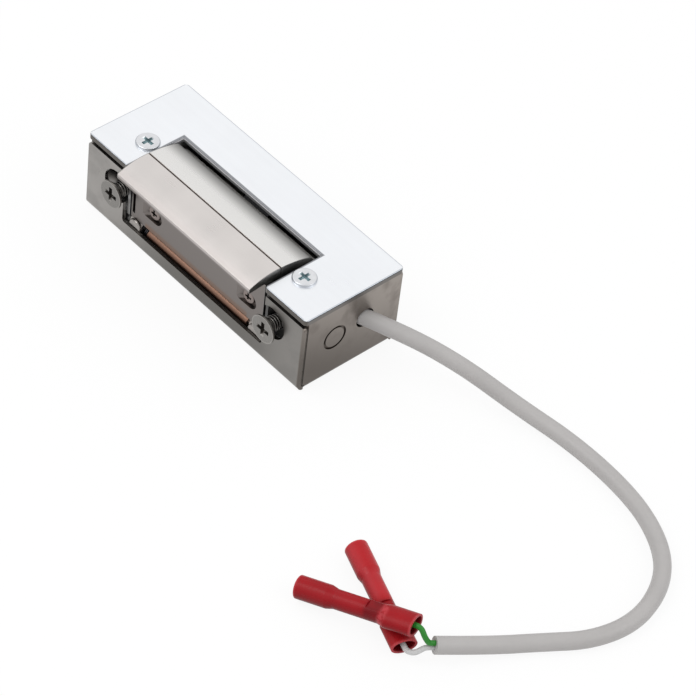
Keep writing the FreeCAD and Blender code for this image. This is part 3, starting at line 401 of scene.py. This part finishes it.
finishes = {
    "housing": metalFinish("zincSheet", shadedBoxSteelLook, boxMarks),
    "cover_plate": metalFinish("zincCover", coverSteelLook, sheetEdges),
    # the screws' recess tints are painted shade; the cover screws' darker rim is a painted shadow line round
    # each head
    "cover_screws": metalFinish("zincPanScrews", screwLook, screwRecess(
        spacing=57.6 * mm, across=-6.1 * mm, axis="z", faceAt=23.95 * mm, headRadius=3.05 * mm, inward=-1,
        recessShade=(0.34, 0.43, 0.45), rim=(0.36, 0.39, 0.43))),
    # the faceplate screws' paler rim is a painted highlight
    "faceplate_screws": metalFinish("dullCountersunkScrews", faceScrewLook, screwRecess(
        spacing=56.5 * mm, across=12.9 * mm, axis="y", faceAt=-17.55 * mm, headRadius=3.8 * mm, inward=1,
        recessShade=(0.13, 0.12, 0.11), rim=(0.4, 0.385, 0.365))),
    "base_screws": metalFinish("zincBaseScrews", screwLook),
    # the lip screws' darker rim is painted shade
    "lip_screws": metalFinish("dullLipScrews", lipScrewLook, screwRecess(
        spacing=34.9 * mm, across=13.2 * mm, axis="y", faceAt=-13.52 * mm, headRadius=2.0 * mm, inward=1,
        recessShade=(0.05, 0.045, 0.04), rim=(0.2, 0.17, 0.16), middle=0.85 * mm)),
    "strike_frame": metalFinish("castFrame", castLook, frameMarks),
    "keeper": metalFinish("satinNickel", nickelLook, keeperMarks),
    "keeper_pin": metalFinish("groundPin", pinLook),
    "pin_sleeve": metalFinish("copperSleeve", copperLook),
    "keeper_spring": metalFinish("bluedWire", springLook),
    "coil_winding": metalFinish("enamelledWire", windingLook),
    "yoke": metalFinish("softIron", ironLook),
    "locking_lever": metalFinish("blackenedSteel", leverLook),
    "upper_connector_barrel": metalFinish("tinnedBarrel", tinnedLook),
    "coil_bobbin": plasticFinish("blackPlastic", blackLook),
    "cable_sheath": plasticFinish("greySheath", sheathLook),
    "green_core": plasticFinish("greenInsulation", greenLook),
    "white_core": plasticFinish("whiteInsulation", whiteLook),
    "upper_connector_sleeve": plasticFinish("redInsulationUpper", shadedRedLook, sleeveMarks(
        farEnd=(86.72, -55.75, 2.85), mouth=(114.16, -46.64, 8.93), sheen=0.05)),
    "lower_connector_sleeve": plasticFinish("redInsulationLower", redLook, sleeveMarks(
        farEnd=(85.9, -38.04, 2.8), mouth=(113.45, -48.73, 2.8), sheen=0.3)),
}
sameAs = {
    "keeper_lip": "keeper", "thrust_washers": "keeper_pin", "lever_pin": "keeper_pin",
    "lever_spring": "keeper_spring", "coil_core": "yoke", "armature": "yoke", "coil_leads": "coil_bobbin",
    "cable_clamp": "coil_bobbin", "lower_connector_barrel": "upper_connector_barrel",
}
for nodeName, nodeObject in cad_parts.items():
    nodeObject.data.materials.clear()
    nodeObject.data.materials.append(finishes[sameAs.get(nodeName, nodeName)])
print("finishes: %d materials on %d nodes" % (len(finishes), len(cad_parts)))


# the route starts at the clamp inside the box and ends where the sheath is stripped
lead = {"diameter": 4.2 * mm, "length": 0.171, "curveSteps": 12, "roundSteps": 6, "route": [
    (34.5, 1.98, 13.34), (49.0, 8.0, 13.4), (62.0, 15.6, 8.6), (76.0, 21.0, 3.4), (92.0, 24.2, 2.2),
    (108.0, 23.9, 2.12), (120.0, 21.4, 2.12), (130.2, 16.0, 2.12), (136.4, 7.9, 2.12),
    (139.3, -2.8, 2.12), (137.0, -13.8, 2.12), (130.8, -23.0, 2.12), (124.35, -33.7, 2.6),
    (118.4, -44.3, 4.8)]}


def tubeAlong(name, points, diameter, finish):
    curve = bpy.data.curves.new(name, "CURVE")
    curve.dimensions = "3D"
    spline = curve.splines.new("NURBS")
    spline.points.add(len(points) - 1)
    for point, place in zip(spline.points, points):
        point.co = (*(coordinate * mm for coordinate in place), 1.0)
    spline.order_u = 3
    spline.use_endpoint_u = True
    spline.resolution_u = lead["curveSteps"]
    curve.bevel_depth = diameter / 2
    curve.bevel_resolution = lead["roundSteps"]
    curve.use_fill_caps = True
    curve.materials.append(finish)
    return shown(name, curve)


sheath = tubeAlong("leadSheath", lead["route"], lead["diameter"], finishes["cable_sheath"])
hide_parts("cable_sheath")
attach(sheath, "case")
print("lead laid")


# the wire's end that the case holds and the one that goes with the joint, in millimetres
springs = {
    "keeper_spring": {"follows": "keeper", "held": (-19.65, -11.9, 4.0), "moving": (-18.95, -11.9, 4.0)},
    "lever_spring": {"follows": "lever", "held": (0.0, 14.1, 17.0), "moving": (0.0, 9.5, 17.0)}}

for nodeName, ends in springs.items():
    # a copy of the wire with its doubled points merged takes the part's place, baked where it stands
    wire = shown(nodeName + "_wire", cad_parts[nodeName].data.copy())
    merged = bmesh.new()
    merged.from_mesh(wire.data)
    bmesh.ops.remove_doubles(merged, verts=merged.verts[:], dist=0.001 * mm)
    merged.to_mesh(wire.data)
    merged.free()
    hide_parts(nodeName)
    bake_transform(wire)
print("springs hung: %d" % len(springs))


def solidPiece(name, made, finish):
    bmesh.ops.recalc_face_normals(made, faces=made.faces[:])
    mesh = bpy.data.meshes.new(name)
    made.to_mesh(mesh)
    made.free()
    mesh.materials.append(finish)
    return shown(name, mesh)


knuckles = {"inner": 20.15 * mm, "outer": 24.25 * mm, "foot": 5.0 * mm, "spring": 5.3 * mm,
            "face": -14.06 * mm, "stand": 0.75 * mm, "round": 0.55 * mm, "arcSteps": 16, "roundSteps": 5}


def knuckleBosses(finish):
    # an arched boss with a rounded face on the wall at each end, where the pin runs through
    made = bmesh.new()
    half = (knuckles["outer"] - knuckles["inner"]) / 2
    for side in (-1, 1):
        middle = side * (knuckles["outer"] + knuckles["inner"]) / 2
        rings = []
        for n in range(knuckles["roundSteps"] + 2):
            turn = max(0, n - 1) / knuckles["roundSteps"] * math.pi / 2
            inset = knuckles["round"] * (1 - math.cos(turn))
            depth = 0.0 if n == 0 else knuckles["stand"] - knuckles["round"] * (1 - math.sin(turn))
            outline = [(-half + inset, knuckles["foot"] + inset)]
            for k in range(knuckles["arcSteps"] + 1):
                angle = math.pi * (1 - k / knuckles["arcSteps"])
                outline.append(((half - inset) * math.cos(angle),
                                knuckles["spring"] + (half - inset) * math.sin(angle)))
            outline.append((half - inset, knuckles["foot"] + inset))
            rings.append([made.verts.new((middle + u, knuckles["face"] - depth, v)) for u, v in outline])
        for near, far in zip(rings, rings[1:]):
            for k in range(len(near)):
                after = (k + 1) % len(near)
                made.faces.new((near[k], near[after], far[after], far[k]))
        made.faces.new(rings[0])
        made.faces.new(rings[-1])
    piece = solidPiece("knuckleBosses", made, finish)
    for face in piece.data.polygons:
        face.use_smooth = len(face.vertices) == 4  # the rounded sides, not the flat ends
    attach(piece, "keeper")


# the bosses' nickel is a darker copy of the keeper's, as painted shade low in the pocket
shadedKnuckleLook = {"colour": (0.36, 0.335, 0.315), "roughness": 0.34, "roughSpread": 0.1,
               "grain": (1500, 300, 300), "mottle": (500, 500, 500), "grainShade": 0.2,
               "mottleShade": 0.5, "grainDepth": 0.000003}
knuckleBosses(metalFinish("shadedKnuckle", shadedKnuckleLook))
print("knuckles raised")


# the top is by the side that the corner is on, because the front wall is lower than the back one
seams = {"end": 39.82 * mm, "start": 39.1 * mm, "front": 14.295 * mm, "back": 14.185 * mm, "foot": 1.75 * mm,
         "top": {-1: 20.55 * mm, 1: 21.75 * mm}, "bulge": 0.05 * mm}


def cornerSeams(finish):
    # the folded sheet's four upright corners are closed by a thin line of solder
    made = bmesh.new()
    width = seams["front"] - seams["back"]
    section = [(seams["start"], seams["back"]), (seams["end"], seams["back"]),
               (seams["end"] + seams["bulge"], seams["back"] + width * 0.3),
               (seams["end"] + seams["bulge"], seams["back"] + width * 0.7),
               (seams["end"], seams["front"]), (seams["start"], seams["front"])]
    for sideX in (-1, 1):
        for sideY in (-1, 1):
            low, high = [[made.verts.new((sideX * x, sideY * y, z)) for x, y in section]
                         for z in (seams["foot"], seams["top"][sideY])]
            for k in range(len(section)):
                after = (k + 1) % len(section)
                made.faces.new((low[k], low[after], high[after], high[k]))
            made.faces.new(low)
            made.faces.new(high)
    piece = solidPiece("cornerSeams", made, finish)
    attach(piece, "case")


seamLook = {"colour": (0.15, 0.14, 0.132), "roughness": 0.45, "roughSpread": 0.15, "grain": (900, 900, 300),
            "mottle": (300, 300, 200), "grainShade": 0.3, "mottleShade": 0.5, "grainDepth": 0.000006}
cornerSeams(metalFinish("solderedSeam", seamLook))
print("corner seams closed")


threads = {"spacing": 56.5 * mm, "height": 12.9 * mm, "from": -15.1 * mm, "pitch": 0.7 * mm, "turns": 4.7,
           "radius": 1.9 * mm, "ridge": 0.17 * mm, "turnSteps": 20, "ridgeSides": 6}


def threadTree(finish):
    # a ridge wound round each shank of the pair
    tree = bpy.data.node_groups.new("threadPair", "GeometryNodeTree")
    face = tree.interface
    face.new_socket("Geometry", in_out="OUTPUT", socket_type="NodeSocketGeometry")
    inputs = {name: face.new_socket(name, in_out="INPUT", socket_type="NodeSocketFloat")
              for name in ("Spacing", "Radius", "Pitch", "Turns", "Ridge")}
    start = tree.nodes.new("NodeGroupInput")

    def node(kind, settings=None, sockets=None):
        made = tree.nodes.new(kind)
        for key, value in (settings or {}).items():
            setattr(made, key, value)
        for key, value in (sockets or {}).items():
            if isinstance(value, bpy.types.NodeSocket):
                tree.links.new(value, made.inputs[key])
            else:
                made.inputs[key].default_value = value
        return made

    length = node("ShaderNodeMath", {"operation": "MULTIPLY"},
                  {0: start.outputs["Pitch"], 1: start.outputs["Turns"]})
    spiral = node("GeometryNodeCurveSpiral", None, {
        "Resolution": threads["turnSteps"], "Rotations": start.outputs["Turns"],
        "Start Radius": start.outputs["Radius"], "End Radius": start.outputs["Radius"],
        "Height": length.outputs[0]})
    ridge = node("GeometryNodeCurvePrimitiveCircle", None, {
        "Resolution": threads["ridgeSides"], "Radius": start.outputs["Ridge"]})
    wound = node("GeometryNodeCurveToMesh", None, {
        "Curve": spiral.outputs[0], "Profile Curve": ridge.outputs[0], "Fill Caps": True})
    turned = node("GeometryNodeTransform", None, {
        "Geometry": wound.outputs[0], "Rotation": (-math.pi / 2, 0, 0)})
    half = node("ShaderNodeMath", {"operation": "MULTIPLY"}, {0: start.outputs["Spacing"], 1: 0.5})
    left = node("ShaderNodeMath", {"operation": "MULTIPLY"}, {0: half.outputs[0], 1: -1.0})
    ends = []
    for value in (half, left):
        place = node("ShaderNodeCombineXYZ", None, {"X": value.outputs[0]})
        ends.append(node("GeometryNodeTransform", None, {
            "Geometry": turned.outputs[0], "Translation": place.outputs[0]}))
    both = tree.nodes.new("GeometryNodeJoinGeometry")
    for end in ends:
        tree.links.new(end.outputs[0], both.inputs[0])
    real = node("GeometryNodeRealizeInstances", None, {0: both.outputs[0]})
    painted = node("GeometryNodeSetMaterial", None, {"Geometry": real.outputs[0], "Material": finish})
    result = tree.nodes.new("NodeGroupOutput")
    tree.links.new(painted.outputs[0], result.inputs[0])
    return tree, inputs


def grown(name, tree, inputs, values, place):
    # the tree's result as a plain mesh, with its place in the mesh
    base = shown(name + "Source", bpy.data.meshes.new(name + "Source"))
    modifier = base.modifiers.new("grow", "NODES")
    modifier.node_group = tree
    for key, value in values.items():
        modifier[inputs[key].identifier] = value
    evaluated = base.evaluated_get(bpy.context.evaluated_depsgraph_get())
    mesh = bpy.data.meshes.new_from_object(evaluated)
    mesh.transform(Matrix.Translation(place))
    base.modifiers.remove(modifier)
    bpy.data.objects.remove(base)
    return shown(name, mesh)


tree, inputs = threadTree(finishes["faceplate_screws"])
ridges = grown("screwThreads", tree, inputs, {
    "Spacing": threads["spacing"], "Radius": threads["radius"], "Pitch": threads["pitch"],
    "Turns": threads["turns"], "Ridge": threads["ridge"]}, Vector((0, threads["from"], threads["height"])))
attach(ridges, "case")
print("threads wound: %d faces" % len(ridges.data.polygons))


# sizes and places are in metres and lamp powers in watts; the sky's stops go from the horizon to overhead
studio = {"floorSize": 4.0, "floorColour": (0.84, 0.84, 0.84), "floorGlow": 0.9, "skyPower": 1.0,
          "skyStops": ((0.0, 0.42), (0.45, 1.0), (0.75, 1.0), (1.0, 0.82)),
          "lampAim": (0.03, 0, 0), "lampSize": 0.6,
          "keyPlace": (-0.25, -0.5, 0.9), "keyPower": 3.0, "fillPlace": (0.7, 0.35, 0.6), "fillPower": 1.5}


def studioFloor():
    recipe = Recipe("paleFloor")
    rays = recipe.node("ShaderNodeLightPath")
    seen = recipe.maths("MAXIMUM", Num(recipe, rays.outputs["Is Camera Ray"]),
                        Num(recipe, rays.outputs["Is Glossy Ray"]))
    seen = recipe.maths("MAXIMUM", seen, Num(recipe, rays.outputs["Is Transmission Ray"]))
    matt = recipe.node("ShaderNodeBsdfDiffuse", None, {"Color": rgba(studio["floorColour"])})
    glow = recipe.node("ShaderNodeEmission", None, {"Color": (1, 1, 1, 1), "Strength": 1.0})
    mix = recipe.node("ShaderNodeMixShader", None, {
        0: seen * studio["floorGlow"], 1: matt.outputs[0], 2: glow.outputs[0]})
    recipe.node("ShaderNodeOutputMaterial", None, {"Surface": mix.outputs[0]})
    half = studio["floorSize"] / 2
    mesh = bpy.data.meshes.new("floor")
    corners = [(-half, -half, 0), (half, -half, 0), (half, half, 0), (-half, half, 0)]
    mesh.from_pydata(corners, [], [(0, 1, 2, 3)])
    mesh.materials.append(recipe.material)
    shown("floor", mesh)


def studioSky():
    # bright overhead, dimmer towards the horizon, so that curved metal has something to show; the
    # backdrop itself is plain white
    world = bpy.data.worlds.new("studioSky")
    bpy.context.scene.world = world
    world.use_nodes = True
    nodes, links = world.node_tree.nodes, world.node_tree.links
    nodes.clear()
    direction = nodes.new("ShaderNodeTexCoord")
    split = nodes.new("ShaderNodeSeparateXYZ")
    height = nodes.new("ShaderNodeValToRGB")
    height.color_ramp.interpolation = "EASE"
    stops = height.color_ramp.elements
    while len(stops) < len(studio["skyStops"]):
        stops.new(0.5)
    for stop, (position, value) in zip(stops, studio["skyStops"]):
        stop.position, stop.color = position, (value, value, value, 1)
    rays = nodes.new("ShaderNodeLightPath")
    backdrop = nodes.new("ShaderNodeMix")
    backdrop.data_type = "RGBA"
    backdrop.inputs[7].default_value = (1, 1, 1, 1)
    glow = nodes.new("ShaderNodeBackground")
    glow.inputs["Strength"].default_value = studio["skyPower"]
    end = nodes.new("ShaderNodeOutputWorld")
    links.new(direction.outputs["Generated"], split.inputs[0])
    links.new(split.outputs[2], height.inputs[0])
    links.new(rays.outputs["Is Camera Ray"], backdrop.inputs["Factor"])
    links.new(height.outputs[0], backdrop.inputs[6])
    links.new(backdrop.outputs[2], glow.inputs["Color"])
    links.new(glow.outputs[0], end.inputs[0])


def areaLamp(name, place, power):
    lamp = bpy.data.lights.new(name, "AREA")
    lamp.shape, lamp.size, lamp.energy = "SQUARE", studio["lampSize"], power
    made = shown(name, lamp)
    made.location = place
    made.rotation_euler = (Vector(place) - Vector(studio["lampAim"])).to_track_quat("Z", "Y").to_euler()


# the camera's own right-hand and backward directions, worked out from the photograph; lens in millimetres
camera = {"place": (0.4255, -0.4097, 0.57405), "right": (0.6596, 0.7463, 0.0901),
          "back": (0.4823, -0.5121, 0.7108), "lens": 175.93, "sensor": 36.0, "near": 0.01, "far": 20.0}


def photoCamera():
    data = bpy.data.cameras.new("photoCamera")
    data.sensor_width, data.lens = camera["sensor"], camera["lens"]
    data.clip_start, data.clip_end = camera["near"], camera["far"]
    back = Vector(camera["back"]).normalized()
    up = back.cross(Vector(camera["right"])).normalized()
    right = up.cross(back)
    turn = Matrix((right, up, back)).transposed().to_4x4()
    made = shown("photoCamera", data)
    made.matrix_world = Matrix.Translation(camera["place"]) @ turn
    bpy.context.scene.camera = made


studioFloor()
studioSky()
areaLamp("keyLamp", studio["keyPlace"], studio["keyPower"])
areaLamp("fillLamp", studio["fillPlace"], studio["fillPower"])
photoCamera()
bpy.context.scene.view_settings.view_transform = "Standard"
print("studio set")
